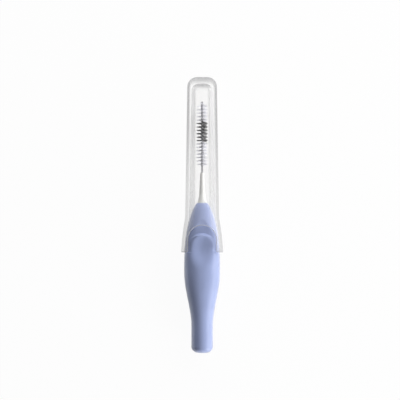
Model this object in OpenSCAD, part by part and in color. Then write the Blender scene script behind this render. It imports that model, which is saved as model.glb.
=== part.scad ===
// Interdental brush with a clear push-on cap.
// Every piece is built upright, tail down and front towards -Y, and laid on its back at the end:
// +Y then runs to the brush tip and +Z out of the front. The origin is below the middle of the whole.

/* [Handle] */
// Length of the moulded handle, from the end of the tail to the face that the neck leaves
handle_l = 38.7; // [37:0.1:44]
// Width of the handle at its belly
belly_w = 9.36; // [8.4:0.02:10.6]
// Thickness of the handle at its belly, which is level with the outside of the cap
belly_t = 7.7; // [7:0.1:8.8]
// Diameter of the round tail, over which the cap can be pushed in use
tail_d = 5.6; // [5:0.1:6.2]
// Length of the straight round tail
tail_l = 6.9; // [5:0.1:9]
// Radius of the rounding at the end of the tail
tail_round = 1.6; // [0.8:0.1:2.2]
// Length over which the handle swells from the tail to the belly
swell_l = 13.8; // [12:0.1:15]
// Length of the belly that keeps its full size
belly_l = 1.5; // [0.5:0.1:2.5]
// How square the belly's section is: 2 is an ellipse
belly_squareness = 2.15; // [2:0.01:2.2]
// Thickness of the lip that the handle leaves round the neck
lip = 0.18; // [0.12:0.01:0.4]

/* [Thumb pads] */
// How far the dish in each pad reaches towards the neck, from its middle
dish_top_reach = 3.1; // [2.8:0.1:3.4]
// How far it would reach to either side, past the sides of the pad
dish_side_reach = 4; // [3.6:0.1:4.4]
// How far it runs out towards the tail
dish_low_reach = 5.4; // [4:0.1:6]
// Depth of the dish
dish_depth = 1.3; // [0.4:0.05:1.4]
// How far the middle of the dish lies below the middle of the arch in the cap
dish_drop = 2.1; // [1.6:0.05:2.4]
// Diameter of the round foot of the crest, above the dish
crest_d = 7.5; // [7:0.1:7.8]
// Width of the slope from that foot up to the crest
crest_slope = 0.75; // [0.5:0.05:1]
// Width of the slope at the sides of the pad
pad_side_slope = 0.55; // [0.3:0.05:0.8]
// Gap between the foot of that slope and the edge of the arch in the cap
pad_gap = 0.25; // [0.2:0.01:0.4]

/* [Core and neck] */
// Length of the neck that shows between the handle and the wire
neck_l = 8; // [6:0.1:10]
// Diameter of the neck's foot, where it leaves the handle
neck_foot_d = 2.5; // [2:0.05:2.6]
// Diameter of the neck just above its foot
neck_low_d = 1.74; // [1.5:0.02:1.9]
// Length over which the neck flares into its foot
neck_flare_l = 3; // [2:0.1:5]
// Diameter of the neck where the wire leaves it
neck_tip_d = 1.02; // [0.9:0.02:1.2]
// Radius of the rounding at the tip of the neck
neck_round = 0.16; // [0.1:0.01:0.2]
// Diameter of the spine that the handle is moulded round
spine_d = 2.9; // [2.4:0.1:3.2]
// Length of the spine inside the handle
spine_l = 33; // [28:0.5:35]
// Depth below the neck's exit at which the spine starts
spine_depth = 2.4; // [2:0.1:3.4]
// Diameter of the collars that lock the spine into the handle
collar_d = 3.8; // [3.4:0.1:4.2]
// Height of one collar
collar_h = 0.9; // [0.6:0.1:1.2]
// Number of collars
collar_count = 3; // [2:1:4]

/* [Wire] */
// Diameter of the steel wire, which is folded in two and twisted
wire_d = 0.24; // [0.2:0.01:0.26]
// Length along the wire of one full twist
twist_pitch = 1.8; // [1.5:0.02:2]
// Space left between the two legs of the wire, where the filaments are pinched
pinch = 0.07; // [0.06:0.005:0.08]
// Length of wire moulded into the core
wire_embed = 9.1; // [6:0.1:11]
// Length of bare wire between the neck and the first filaments
stem_l = 2.4; // [1.5:0.1:4]
// Length of wire that stands out past the last filaments, below its fold
tip_stub = 0.12; // [0.1:0.01:0.4]

/* [Filaments] */
// Diameter over the filaments
brush_d = 3; // [2.4:0.1:3.6]
// Length of the pale filaments next to the handle
base_zone_l = 5.8; // [4:0.1:7]
// Length of the dark filaments in the middle
dark_zone_l = 5.4; // [4:0.1:6]
// Length of the pale filaments at the tip
tip_zone_l = 4.8; // [4:0.1:7]
// Thickness of one filament along the wire
filament_d = 0.06; // [0.05:0.005:0.07]
// Filaments set along one full twist of the wire, each of which shows on both sides
filaments_per_twist = 17; // [16:1:19]
// Length at each end of the brush over which the filaments get shorter
end_fade = 1.2; // [0.6:0.1:2]
// Share of its length that the outermost filament loses
end_fade_share = 0.22; // [0:0.01:0.4]

/* [Cap] */
// Length of the handle that the seated cap leaves bare
bare_l = 25.9; // [25:0.1:27]
// Width of the cavity at its closed end
cavity_w = 5.54; // [5.3:0.02:6.2]
// Width that the straight taper of the cavity would reach at the mouth, without the flare
cavity_low_w = 6.98; // [6.6:0.02:7.4]
// Thickness of the cap at its closed end
cap_t = 7.4; // [7.2:0.02:7.6]
// Wall of the cap above its flare
top_wall = 1.05; // [0.9:0.01:1.15]
// Wall of the cap at its mouth
mouth_wall = 0.76; // [0.7:0.01:0.9]
// Thickness of the end wall
end_wall = 1.7; // [1.4:0.1:2.2]
// Room between the tip of the wire and the end of the cavity
tip_room = 4.6; // [4:0.1:8]
// Radius of the outer rounding at the closed end
cap_round = 2.8; // [1.6:0.1:3.2]
// Radius of the rounding at the end of the cavity
cavity_round = 1.4; // [0.7:0.05:1.5]
// Width of the flat panels on the front and back of the cap
panel_w = 5.8; // [5:0.1:6.4]
// Width of the flat faces of the cavity behind those panels
cavity_panel_w = 2.6; // [2:0.1:3.8]
// Height of the rounded corners of the cap's section at the closed end
end_corner = 1.3; // [1:0.1:1.6]
// Height of the same corners at the mouth
mouth_corner = 2.6; // [2:0.1:2.8]
// Width of the arch cut in the front and back of the mouth
arch_w = 7.2; // [6.8:0.1:7.4]
// Height of the arch above the mouth
arch_h = 6.9; // [6.4:0.1:7.4]
// How far the cap stands proud of the pads at its mouth
cap_proud = 0.06; // [0.02:0.01:0.2]
// Gap between the cap and the shoulder of the handle
fit_gap = 0.1; // [0.08:0.01:0.14]

/* [Hidden] */

$fn = 48;
// Hairline between pieces that are moulded round each other, so that they touch and don't overlap
bond = 0.01;
// Distance by which a cut runs past the piece that it cuts
overrun = 1;
// Hairline by which the swelling part of the handle stands out over its round tail
tail_step = 0.02;
// Length over which the flare of the cap blends into its taper
flare_blend = 0.25;
// Powers of the dish's depth at its sides, below its crest and towards the tail: a low one has a steep rim
dish_side_power = 1.5;
dish_top_power = 0.6;
dish_low_power = 1.6;
// Share of the slopes round the pad over which their tops are rounded off
crest_share = 0.2;
// Share of each filament's length by which its neighbours differ
ragged_share = 0.045;
// Turn that spreads those differences unevenly from one filament to the next
ragged_turn = 137.5;
// Half the width of the strip of pinched filaments between the legs of the wire
strip_half = wire_d / 2;

// Heights above the end of the tail
shoulder_z = tail_l + swell_l + belly_l;
neck_top_z = handle_l + neck_l;
wire_low_z = neck_top_z - wire_embed;
base_zone_z = neck_top_z + stem_l;
dark_zone_z = base_zone_z + base_zone_l;
tip_zone_z = dark_zone_z + dark_zone_l;
brush_top_z = tip_zone_z + tip_zone_l;
fold_z = brush_top_z + tip_stub;
leg_r = (wire_d + pinch) / 2;
wire_top_z = fold_z + leg_r + wire_d / 2;
cavity_top_z = wire_top_z + tip_room;
cap_top_z = cavity_top_z + end_wall;
arch_top_z = bare_l + arch_h;
arch_z = arch_top_z - arch_w / 2;
dish_z = arch_z - dish_drop;

// Half sizes that several pieces share
end_r = neck_foot_d / 2 + lip;
mouth_half_t = belly_t / 2 + cap_proud;
wire_bundle_r = leg_r + wire_d / 2;

// Points round a section, and rings along a piece
handle_points = 48;
corner_steps = 9;
wire_sides = 6;
wire_rings_per_twist = 8;
fold_rings = 6;

// Radius to the corners of the section where the swell starts, whose sides clear the tail all round
swell_low_r = (tail_d / 2 + tail_step) / cos(180 / handle_points);

function mix(a, b, share) = a + (b - a) * share;
function clamp01(t) = min(1, max(0, t));
function smooth(t) = let (u = clamp01(t)) u * u * (3 - 2 * u);
function signed_power(v, e) = sign(v) * pow(abs(v), e);
function soft_max(u, v, blend) = (u + v + sqrt(pow(u - v, 2) + pow(blend, 2))) / 2;
function unit(v) = v / norm(v);

// Height of a flat-sided section of half sizes a and b at x: flat in the middle, then an elliptical corner
function section_y(x, a, b, flat, corner) =
    let (past = clamp01((abs(x) - flat) / (a - flat)))
    b - corner + corner * sqrt(1 - past * past);

// Quarter ellipse that falls from 1 at the shoulder to end_r over half, at the neck's exit
function ogive(z, half) =
    let (reach = (handle_l - shoulder_z) / sqrt(1 - pow(end_r / half, 2)))
    z < shoulder_z ? 1 : sqrt(max(0, 1 - pow((z - shoulder_z) / reach, 2)));

// Radius of the neck at a height above the handle
function neck_r(z) =
    mix(neck_low_d, neck_tip_d, z / neck_l) / 2
    + (neck_foot_d - neck_low_d) / 2 * pow(1 - clamp01(z / neck_flare_l), 2);

// How far the handle has swollen from tail to belly at height z, from 0 to 1
function swell(z) = smooth((z - tail_l) / swell_l);
function handle_a(z) = mix(swell_low_r, belly_w / 2, swell(z)) * ogive(z, belly_w / 2);
function handle_b(z) = mix(swell_low_r, belly_t / 2, swell(z)) * ogive(z, belly_t / 2);
function handle_n(z) = mix(2, belly_squareness, swell(z) * ogive(z, belly_w / 2));

// Share of the way from the mouth of the cap to its end
function along_cap(z) = (z - bare_l) / (cap_top_z - bare_l);
function cap_wall(z) = mix(mouth_wall, top_wall, smooth((z - bare_l) / (handle_l - bare_l)));
function corner(z) = mix(mouth_corner, end_corner, clamp01(along_cap(z)));
// The cavity follows its straight taper, or the shoulder of the handle where that is wider
function cavity_a(z) =
    soft_max(mix(cavity_low_w / 2, cavity_w / 2, along_cap(z)), handle_a(z) + fit_gap, flare_blend);
function cap_a(z) = cavity_a(z) + cap_wall(z);
function cap_b(z) = mix(mouth_half_t, cap_t / 2, along_cap(z));
function cavity_b(z) = cap_b(z) - cap_wall(z);
// Inset of a rounded end at a distance from its face
function rounding(distance, radius) =
    distance >= radius ? 0 : radius - sqrt(pow(radius, 2) - pow(radius - distance, 2));

// Height of the axis above what the part lies on: its flat back, just past the arch, or its belly
rest_height = max(belly_t / 2, cap_b(arch_top_z));

// 1 on the pad and 0 on the shoulder under the cap, with a slope between them inside the arch. The foot
// of the slope is an arch inside that of the cap, or the crest's own lower arch where that is nearer.
function pad_share(x, z) =
    let (inside_arch = arch_w / 2 - pad_gap - norm([x, max(0, z - arch_z)]),
         inside_crest = crest_d / 2 - norm([x, max(0, z - dish_z)]),
         left = 1 - min(inside_arch / pad_side_slope, inside_crest / crest_slope))
    max(0, 1 - soft_max(left, 0, crest_share));

// Depth of the dish: a scoop that is steep below the crest and drawn out towards the tail
function dish(x, z) =
    let (lengthwise = (z - dish_z) / (z < dish_z ? dish_low_reach : dish_top_reach),
         share = norm([x / dish_side_reach, lengthwise]),
         end_power = z < dish_z ? dish_low_power : dish_top_power,
         power = share > 0 ? mix(dish_side_power, end_power, pow(lengthwise / share, 2)) : end_power)
    share >= 1 ? 0 : dish_depth * pow(1 - share * share, power);

// Height of the handle's surface at x: the shoulder, which stays inside the cap, or the pad with its dish
function handle_y(x, s, z) =
    let (room = section_y(x, cavity_a(z), cavity_b(z), cavity_panel_w / 2, corner(z)) - fit_gap,
         shoulder = z < bare_l ? handle_b(z) * s : max(0, min(handle_b(z) * s, room)),
         pad = belly_t / 2 * s)
    mix(shoulder, pad, z < shoulder_z ? 0 : pad_share(x, z)) - dish(x, z) * s;

function handle_ring(z) =
    let (a = handle_a(z), n = handle_n(z))
    [for (i = [0:handle_points - 1])
        let (turn = 360 * i / handle_points,
             x = a * signed_power(cos(turn), 2 / n),
             s = pow(abs(sin(turn)), 2 / n))
        [x, sign(sin(turn)) * handle_y(x, s, z), z]];

// Ring of a flat-sided section, drawn in all round by an inset where the end is rounded
function cap_ring(a, b, flat, z, inset) =
    let (a_in = a - inset,
         b_in = b - inset,
         flat_in = flat * a_in / a,
         corner_in = corner(z) * b_in / b)
    [for (quarter = [0:3], k = [0:corner_steps])
        let (turn = 90 * (quarter + k / corner_steps),
             x_side = quarter == 0 || quarter == 3 ? 1 : -1,
             y_side = quarter < 2 ? 1 : -1)
        [x_side * flat_in + (a_in - flat_in) * cos(turn),
         y_side * (b_in - corner_in) + corner_in * sin(turn),
         z]];

// Evenly spaced values from one to the other, without the last
function steps(from, to, count) = [for (i = [0:count - 1]) mix(from, to, i / count)];
// Values that crowd towards the last, which they reach
function crowding(from, to, count) = [for (i = [0:count]) mix(from, to, sin(90 * i / count))];

// Closed solid through rings of the same number of points, which run anticlockwise about the way forward
module skin(rings) {
    m = len(rings[0]);
    last = len(rings) - 1;
    points = [for (ring = rings) each ring];
    sides = [for (j = [0:last - 1], i = [0:m - 1])
        let (a = j * m + i, b = j * m + (i + 1) % m, c = b + m, d = a + m)
        each [[a, d, c], [a, c, b]]];
    ends = [[for (i = [0:m - 1]) i], [for (i = [m - 1:-1:0]) last * m + i]];
    polyhedron(points = points, faces = concat(sides, ends));
}

// Turns an upright piece onto its back and moves it over the origin
module lay_down() {
    translate([0, -cap_top_z / 2, rest_height])
        rotate([-90, 0, 0])
            children();
}

// Lays down a piece that follows the twist, which is worked out right-handed and made left-handed here
module lay_down_twisted() {
    lay_down()
        mirror([1, 0, 0])
            children();
}

// Solid of revolution of the spine, its collars and the neck, grown by a margin all round
module core_form(margin) {
    spine_top = handle_l - spine_depth;
    spine_low = spine_top - spine_l;
    collar_step = spine_l / (collar_count + 1);
    translate([0, 0, spine_low - margin])
        cylinder(r = spine_d / 2 + margin, h = spine_l + 2 * margin);
    for (i = [1:collar_count])
        translate([0, 0, spine_low + i * collar_step - collar_h / 2 - margin])
            cylinder(r = collar_d / 2 + margin, h = collar_h + 2 * margin);
    translate([0, 0, spine_top])
        cylinder(r = neck_foot_d / 2 + margin, h = spine_depth);
}

module tail() {
    rotate_extrude() {
        translate([0, tail_round])
            square([tail_d / 2, tail_l - tail_round + overrun]);
        square([tail_d / 2 - tail_round, tail_round]);
        intersection() {
            translate([tail_d / 2 - tail_round, tail_round])
                circle(r = tail_round);
            translate([tail_d / 2 - tail_round, 0])
                square([tail_round, tail_round]);
        }
    }
}

module grip() {
    swell_rings = 12;
    pad_rings = 14;
    crest_rings = 8;
    foot_rings = 5;
    shoulder_rings = 10;
    crest_foot_z = dish_z + crest_d / 2;
    crest_low_z = crest_foot_z - 2 * crest_slope;
    pad_top_z = arch_top_z + fit_gap;
    heights = concat(
        steps(tail_l, shoulder_z, swell_rings),
        steps(shoulder_z, crest_low_z, pad_rings),
        steps(crest_low_z, crest_foot_z, crest_rings),
        steps(crest_foot_z, pad_top_z, foot_rings),
        crowding(pad_top_z, handle_l, shoulder_rings));
    color([0.62, 0.67, 0.85])
        lay_down()
            difference() {
                union() {
                    skin([for (z = heights) handle_ring(z)]);
                    tail();
                }
                core_form(bond);
                translate([0, 0, handle_l - spine_depth])
                    cylinder(r = neck_foot_d / 2 + bond, h = spine_depth + overrun);
            }
}

// The neck: a slender cone with a flared foot, rounded off at its tip
module neck() {
    flare_steps = 8;
    heights = concat(steps(0, neck_flare_l, flare_steps), [neck_flare_l, neck_l - neck_round]);
    rotate_extrude()
        polygon(concat(
            [[0, 0]],
            [for (z = heights) [neck_r(z), z]],
            [[neck_r(neck_l) - neck_round, neck_l], [0, neck_l]]));
}

module core() {
    color([0.95, 0.95, 0.93])
        lay_down()
            difference() {
                union() {
                    core_form(0);
                    translate([0, 0, handle_l])
                        neck();
                }
                translate([0, 0, wire_low_z - wire_d / 2])
                    cylinder(r = wire_bundle_r + bond, h = wire_embed + wire_d / 2 + overrun);
            }
}

// Angle of the twisted wire at height z, right-handed: the twist dies out over half a pitch below the fold
function twist(z) =
    let (ramp = twist_pitch / 2,
         past = max(0, z - (fold_z - ramp)))
    360 / twist_pitch * (z - wire_low_z - past * past / (2 * ramp));
function twist_rate(z) =
    let (ramp = twist_pitch / 2)
    2 * PI / twist_pitch * (1 - clamp01((z - (fold_z - ramp)) / ramp));

function wire_ring(centre, way, outward) =
    let (side = cross(way, outward))
    [for (i = [0:wire_sides - 1])
        let (turn = 360 * (i + 0.5) / wire_sides)
        centre + wire_d / 2 * (cos(turn) * outward + sin(turn) * side)];

// Ring on one leg of the wire: up is 1 on the leg that climbs and -1 on the one that comes back down
function leg_ring(z, up) =
    let (turn = twist(z) + (up > 0 ? 0 : 180),
         outward = [cos(turn), sin(turn), 0],
         around = [-sin(turn), cos(turn), 0])
    wire_ring(leg_r * outward + [0, 0, z], up * unit(leg_r * twist_rate(z) * around + [0, 0, 1]), outward);

function fold_ring(bend) =
    let (turn = twist(fold_z),
         outward = [cos(bend) * cos(turn), cos(bend) * sin(turn), sin(bend)],
         way = [-sin(bend) * cos(turn), -sin(bend) * sin(turn), cos(bend)])
    wire_ring(leg_r * outward + [0, 0, fold_z], way, outward);

module wire() {
    leg_rings = ceil((fold_z - wire_low_z) / twist_pitch * wire_rings_per_twist);
    heights = [for (i = [0:leg_rings]) mix(wire_low_z, fold_z, i / leg_rings)];
    rings = concat(
        [for (z = heights) leg_ring(z, 1)],
        [for (i = [1:fold_rings - 1]) fold_ring(180 * i / fold_rings)],
        [for (i = [leg_rings:-1:0]) leg_ring(heights[i], -1)]);
    color([0.62, 0.62, 0.64])
        lay_down_twisted()
            skin(rings);
}

// Half length of the filament at height z, shorter towards both ends of the brush and never quite even
function filament_reach(z, index) =
    let (from_end = min(z - base_zone_z, brush_top_z - z),
         fade = end_fade_share * pow(1 - clamp01(from_end / end_fade), 2))
    brush_d / 2 * (1 - fade - ragged_share * abs(sin(index * ragged_turn)));

// Sixteen points of one filament and the slice of pinched strip that holds it: the lower and the upper
// ring of the strip, then the end of the filament on one side and on the other
function filament_points(z, index, half_thickness) =
    let (turn = twist(z) + 90,
         along = [cos(turn), sin(turn), 0],
         across = [-sin(turn), cos(turn), 0],
         reach = filament_reach(z, index),
         low = z - filament_d / 2,
         high = z + filament_d / 2,
         at = function (u, v, h) u * along + v * half_thickness * across + [0, 0, h])
    [at(-strip_half, -1, low), at(strip_half, -1, low),
     at(strip_half, 1, low), at(-strip_half, 1, low),
     at(-strip_half, -1, high), at(strip_half, -1, high),
     at(strip_half, 1, high), at(-strip_half, 1, high),
     at(reach, -1, low), at(reach, 1, low), at(reach, 1, high), at(reach, -1, high),
     at(-reach, 1, low), at(-reach, -1, low), at(-reach, -1, high), at(-reach, 1, high)];

// Faces of a tube between two rings of four points, given by their numbers
function four_sides(low, high) =
    [for (i = [0:3])
        let (j = (i + 1) % 4)
        each [[low[i], high[i], high[j]], [low[i], high[j], low[j]]]];
function numbers(first, list) = [for (i = list) first + i];

// Comb of filaments over one zone of the brush, fused to the strip of roots between the wire's legs
module filaments(zone_z, zone_l) {
    pitch = twist_pitch / filaments_per_twist;
    count = floor(zone_l / pitch);
    start = zone_z + (zone_l - (count - 1) * pitch) / 2;
    half_thickness = pinch / 2 - bond;
    points = [for (k = [0:count - 1]) each filament_points(start + k * pitch, k, half_thickness)];
    own_faces = [for (k = [0:count - 1])
        let (f = 16 * k)
        each concat(
            [numbers(f, [0, 4, 5]), numbers(f, [0, 5, 1]), numbers(f, [2, 6, 7]), numbers(f, [2, 7, 3])],
            four_sides(numbers(f, [1, 2, 6, 5]), numbers(f, [8, 9, 10, 11])),
            [numbers(f, [11, 10, 9]), numbers(f, [11, 9, 8])],
            four_sides(numbers(f, [3, 0, 4, 7]), numbers(f, [12, 13, 14, 15])),
            [numbers(f, [15, 14, 13]), numbers(f, [15, 13, 12])])];
    strip_faces = [for (k = [0:count - 2])
        let (f = 16 * k)
        each four_sides(numbers(f, [4, 5, 6, 7]), numbers(f + 16, [0, 1, 2, 3]))];
    last = 16 * (count - 1);
    ends = [[0, 1, 2], [0, 2, 3], numbers(last, [7, 6, 5]), numbers(last, [7, 5, 4])];
    lay_down_twisted()
        polyhedron(points = points, faces = concat(own_faces, strip_faces, ends));
}

module base_filaments() {
    color([0.93, 0.94, 0.96])
        filaments(base_zone_z, base_zone_l);
}

module dark_filaments() {
    color([0.16, 0.16, 0.18])
        filaments(dark_zone_z, dark_zone_l);
}

module tip_filaments() {
    color([0.93, 0.94, 0.96])
        filaments(tip_zone_z, tip_zone_l);
}

// Opening that the pads show through, cut in the front and back of the mouth
module arch() {
    rotate([90, 0, 0])
        linear_extrude(height = 2 * (rest_height + overrun), center = true) {
            translate([0, arch_z])
                circle(d = arch_w);
            translate([-arch_w / 2, bare_l - overrun])
                square([arch_w, arch_z - bare_l + overrun]);
        }
}

module cap() {
    flare_rings = 12;
    taper_rings = 4;
    round_rings = 6;
    flare_top_z = handle_l;
    outer = concat(
        steps(bare_l, flare_top_z, flare_rings),
        steps(flare_top_z, cap_top_z - cap_round, taper_rings),
        crowding(cap_top_z - cap_round, cap_top_z, round_rings));
    inner = concat(
        [bare_l - overrun],
        steps(bare_l, flare_top_z, flare_rings),
        steps(flare_top_z, cavity_top_z - cavity_round, taper_rings),
        crowding(cavity_top_z - cavity_round, cavity_top_z, round_rings));
    color([0.86, 0.88, 0.9, 0.35])
        lay_down()
            difference() {
                skin([for (z = outer)
                    cap_ring(cap_a(z), cap_b(z), panel_w / 2, z, rounding(cap_top_z - z, cap_round))]);
                skin([for (z = inner)
                    cap_ring(cavity_a(z), cavity_b(z), cavity_panel_w / 2, z,
                        rounding(cavity_top_z - z, cavity_round))]);
                arch();
            }
}

grip();
core();
wire();
base_filaments();
dark_filaments();
tip_filaments();
cap();
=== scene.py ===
"""Looks of an interdental brush with a clear push-on cap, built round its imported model.

The brush lies on its back: +Y runs from the tail to the closed end of the cap and +Z out of the front.
Shapes are worked out in millimetres on the upright brush, with x to the right, y to the back and z up
from the end of the tail, and are laid down into the frame, in metres, when their mesh is made.
"""

import logging
import math
from dataclasses import dataclass, field
from enum import Enum

import bpy
import numpy as np
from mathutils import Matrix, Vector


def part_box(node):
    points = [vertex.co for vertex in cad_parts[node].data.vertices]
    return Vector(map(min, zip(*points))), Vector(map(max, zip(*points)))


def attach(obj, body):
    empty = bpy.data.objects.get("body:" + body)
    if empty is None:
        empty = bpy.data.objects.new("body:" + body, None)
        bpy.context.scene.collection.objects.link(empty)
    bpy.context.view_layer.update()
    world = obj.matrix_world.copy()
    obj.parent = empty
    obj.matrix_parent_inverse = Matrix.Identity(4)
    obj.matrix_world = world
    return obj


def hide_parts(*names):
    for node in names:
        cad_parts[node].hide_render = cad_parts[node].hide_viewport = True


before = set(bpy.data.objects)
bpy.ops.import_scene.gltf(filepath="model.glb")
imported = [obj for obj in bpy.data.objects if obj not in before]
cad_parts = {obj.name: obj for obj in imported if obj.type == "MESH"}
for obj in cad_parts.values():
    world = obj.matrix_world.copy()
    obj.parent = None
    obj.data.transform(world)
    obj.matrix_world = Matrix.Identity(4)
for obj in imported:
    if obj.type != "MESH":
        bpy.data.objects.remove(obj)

Array = np.ndarray
Colour = tuple[float, float, float]
Socket = bpy.types.NodeSocket
Value = Socket | Colour | float

MM = 0.001
FULL_TURN = 2 * math.pi
QUARTER_TURN = math.pi / 2
UP = np.array([0.0, 0.0, 1.0])
WHITE = (1.0, 1.0, 1.0)
SHARP_EDGE = math.radians(38)
LOG = logging.getLogger("interdental_brush")


class Body(Enum):
    """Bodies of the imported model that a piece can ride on."""

    HANDLE = "handle"
    CAP = "cap"


class Slot(Enum):
    """Material slots of the record."""

    HANDLE = "handle_lavender"
    CORE = "core_white"
    WIRE = "wire_steel"
    PALE = "filament_pale"
    DARK = "filament_dark"
    CAP = "cap_clear"


class Share(Enum):
    """Shares from 0 to 1 that the cap's points carry, which place the painted shade and light of its
    finish.
    """

    # Where the cap's finish paints shade at edges that turn away.
    EDGE = "edge_share"
    # Where the cavity's corners get a painted glow and painted shade behind them.
    INNER = "inner_share"
    # Where the lip gets a painted highlight line and throws a darker shadow.
    LIP = "lip_share"


def mix(low: Array | float, high: Array | float, share: Array | float) -> Array | float:
    """Goes from low, at share 0, to high, at share 1."""
    return low + (high - low) * share


def smooth(t: Array | float) -> Array:
    """Eases from 0 to 1 as t does: 3 t squared less 2 t cubed, held flat outside."""
    u = np.clip(t, 0.0, 1.0)
    return u * u * (3 - 2 * u)


def signed_power(value: Array, exponent: Array | float) -> Array:
    """Raises the size of a value to a power and keeps its sign."""
    return np.sign(value) * np.abs(value) ** exponent


def soft_max(first: Array, second: Array, blend: float) -> Array:
    """The larger of two values, rounded off where they are closer than about blend."""
    return (first + second + np.sqrt((first - second) ** 2 + blend**2)) / 2


def rounding(distance: Array, radius: float) -> Array:
    """Inset of an end with a quarter round of that radius, at a distance from its face."""
    left = np.clip(radius - distance, 0.0, radius)
    return radius - np.sqrt(radius**2 - left**2)


def crowding(low: float, high: float, count: int) -> Array:
    """Values from low to high that crowd towards high, by the sine of a quarter turn."""
    return mix(low, high, np.sin(np.linspace(0.0, QUARTER_TURN, count)))


def spokes(turn: Array) -> Array:
    """Unit vectors square to the brush's axis at those turns: the cosine, the sine and zero."""
    return np.stack([np.cos(turn), np.sin(turn), np.zeros_like(turn)], axis=-1)


def even_turns(count: int) -> Array:
    """Turns that divide a full one into equal parts."""
    return np.arange(count) * FULL_TURN / count


def turned(profile: Array, sides: int) -> Array:
    """Rings round the axis: radius r and height z go to (r cos t, r sin t, z) for sides turns t."""
    return profile[:, :1, None] * spokes(even_turns(sides)) + profile[:, 1:, None] * UP


def paint(red: int, green: int, blue: int) -> Colour:
    """A colour written as a screen shows it, from 0 to 255, turned into linear light."""
    shown = np.array([red, green, blue]) / 255
    return tuple(np.where(shown <= 0.04045, shown / 12.92, ((shown + 0.055) / 1.055) ** 2.4).tolist())


def set_out(name: str, data: bpy.types.ID) -> bpy.types.Object:
    """Puts a mesh, a lamp or a camera into the scene.

    Args:
        name: The object's name.
        data: The mesh, the lamp or the camera.

    Returns:
        The object that holds it.
    """
    thing = bpy.data.objects.new(name, data)
    bpy.context.scene.collection.objects.link(thing)
    return thing


@dataclass(frozen=True)
class Lay:
    """Where the upright brush lies in the frame, in metres: its tail's end and its axis's height."""

    tail_y: float
    axis_z: float

    @classmethod
    def from_frame(cls) -> "Lay":
        """Reads the tail's end from the grip and the axis from the middle of the round core.

        Returns:
            Where the brush lies.
        """
        grip_low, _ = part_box("grip")
        core_low, core_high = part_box("core")
        return cls(tail_y=grip_low.y, axis_z=(core_low.z + core_high.z) / 2)

    def place(self, points: Array) -> Array:
        """Lays upright points down on the brush's back.

        Args:
            points: Points in millimetres, with the three coordinates last.

        Returns:
            The same points in the frame, in metres, one to a row.
        """
        x, y, z = np.moveaxis(points, -1, 0)
        laid = np.stack([x * MM, self.tail_y + z * MM, self.axis_z - y * MM], axis=-1)
        return laid.reshape(-1, 3)


@dataclass
class Surface:
    """A closed surface: points in millimetres, faces as lists of their numbers, and the points' shares."""

    points: Array
    faces: list[list[int]]
    shares: dict[Share, Array] = field(default_factory=dict)

    @staticmethod
    def quads(number: Array) -> Array:
        """Joins each point to the next one round, and to the same two on the next ring.

        Args:
            number: Point numbers, with the ring and the place round it last.

        Returns:
            The four numbers of each quad, one quad to a row.
        """
        after = np.roll(number, -1, axis=-1)
        low, high = np.s_[..., :-1, :], np.s_[..., 1:, :]
        return np.stack([number[low], after[low], after[high], number[high]], axis=-1).reshape(-1, 4)

    @classmethod
    def skin(cls, rings: Array) -> "Surface":
        """Closes a stack of rings into one surface, with a pole at each end.

        The first and last ring are closed by triangles to the mean of their points. Rings run
        anticlockwise about the way forward, so the faces point outwards.

        Args:
            rings: Points of the rings: one row a ring, one column a point.

        Returns:
            The closed surface, whose last two points are its poles.
        """
        rows, columns = rings.shape[:2]
        number = np.arange(rows * columns).reshape(rows, columns)
        after = np.roll(number, -1, axis=1)
        low_pole, high_pole = (np.full(columns, rows * columns + end) for end in range(2))
        low_fan = np.stack([after[0], number[0], low_pole], axis=-1)
        high_fan = np.stack([number[-1], after[-1], high_pole], axis=-1)
        points = np.concatenate([rings.reshape(-1, 3), rings[[0, -1]].mean(axis=1)])
        return cls(points, cls.quads(number).tolist() + low_fan.tolist() + high_fan.tolist())

    @classmethod
    def strands(cls, rings: Array) -> "Surface":
        """Closes many thin tubes at once, each with a flat face at both ends.

        Args:
            rings: Points by strand, ring along it and place round it.

        Returns:
            One surface that holds every strand.
        """
        number = np.arange(rings[..., 0].size).reshape(rings.shape[:3])
        ends = number[:, 0, ::-1].tolist() + number[:, -1].tolist()
        return cls(rings.reshape(-1, 3), cls.quads(number).tolist() + ends)


@dataclass(frozen=True)
class Piece:
    """Name of a finished piece, the body that it rides on, its slot and the nodes that it stands for."""

    name: str
    body: Body
    slot: Slot
    nodes: tuple[str, ...]

    def fit(self, surface: Surface, lay: Lay, finish: bpy.types.Material) -> None:
        """Makes the object, with its place in its mesh, dresses it and fits it to the frame.

        Args:
            surface: The piece's surface on the upright brush.
            lay: Where the brush lies.
            finish: The material that covers it.
        """
        mesh = bpy.data.meshes.new(self.name)
        mesh.from_pydata(lay.place(surface.points).tolist(), [], surface.faces)
        for share, values in surface.shares.items():
            carried = mesh.attributes.new(share.value, "FLOAT", "POINT")
            carried.data.foreach_set("value", values.astype(np.float32))
        mesh.shade_smooth()
        mesh.set_sharp_from_angle(angle=SHARP_EDGE)
        mesh.materials.append(finish)
        piece = set_out(self.name, mesh)
        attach(piece, self.body.value)
        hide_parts(*self.nodes)
        LOG.info("%s rides on %s: %d faces", self.name, self.body.value, len(mesh.polygons))


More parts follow.
